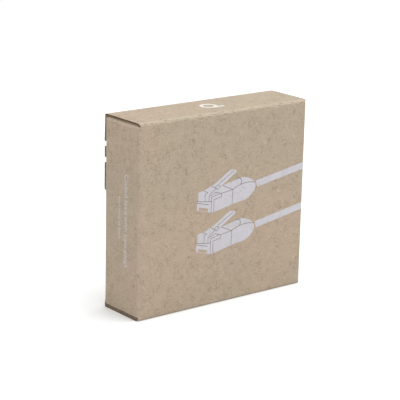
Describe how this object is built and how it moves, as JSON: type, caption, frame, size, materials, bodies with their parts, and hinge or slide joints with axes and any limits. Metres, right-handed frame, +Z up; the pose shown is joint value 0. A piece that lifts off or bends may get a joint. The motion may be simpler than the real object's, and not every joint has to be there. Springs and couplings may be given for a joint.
{
  "type": "cable carton",
  "caption": "Slim upright folded carton of brown fine-flute corrugated board for a coiled network cable, with a hinged lid, a tear strip down the back and printed pictures of network plugs.",
  "frame": {"origin": "centre of the base, on the surface the carton stands on", "axes": "+Z up, +X along the width to the right, -Y out of the printed front wall, +Y out of the back wall with its glued closure flap"},
  "size_m": [0.16, 0.044, 0.15],
  "materials": {
    "board": "matt uncoated brown recycled kraft liner with visible fibres",
    "ink": "matt opaque white ink, one pass, slightly see-through",
    "glue": "pressed hot-melt glue, amber, half clear",
    "tape": "clear polypropylene ripper tape"
  },
  "bodies": {
    "carton": {"front_panel": "board", "left_panel": "board", "right_panel": "board", "back_panel": "board", "seam_flap": "board", "seam_glue": "glue", "bottom_panel": "board", "bottom_flap": "board", "bottom_glue": "glue", "bottom_left_dust_flap": "board", "bottom_right_dust_flap": "board", "glued_flap": "board", "closure_glue": "glue", "upper_plug_print": "ink", "lower_plug_print": "ink"},
    "lid": {"lid_panel": "board", "lid_emblem_print": "ink"},
    "closure_flap": {"closure_flap": "board"},
    "tear_strip": {"tear_strip": "board", "tear_tape": "tape"},
    "left_dust_flap": {"top_left_dust_flap": "board"},
    "right_dust_flap": {"top_right_dust_flap": "board"}
  },
  "joints": [
    {"name": "lid_hinge", "type": "hinge", "parent": "carton", "child": "lid", "pos_m": [0, -0.02136, 0.14941], "axis": [1, 0, 0], "range_deg": [0, 180]},
    {"name": "closure_flap_hinge", "type": "hinge", "parent": "lid", "child": "closure_flap", "pos_m": [0, 0.02141, 0.14941], "axis": [1, 0, 0], "range_deg": [0, 170]},
    {"name": "tear_strip_pull", "type": "slide", "parent": "carton", "child": "tear_strip", "axis": [0, 1, 0], "range_m": [0, 0.03]},
    {"name": "left_dust_flap_hinge", "type": "hinge", "parent": "carton", "child": "left_dust_flap", "pos_m": [-0.07941, 0, 0.14751], "axis": [0, -1, 0], "range_deg": [0, 90]},
    {"name": "right_dust_flap_hinge", "type": "hinge", "parent": "carton", "child": "right_dust_flap", "pos_m": [0.07941, 0, 0.14751], "axis": [0, 1, 0], "range_deg": [0, 90]}
  ],
  "couplings": [
    {"joint": "left_dust_flap_hinge", "follows": "lid_hinge", "ratio": 0.5},
    {"joint": "right_dust_flap_hinge", "follows": "lid_hinge", "ratio": 0.5}
  ]
}
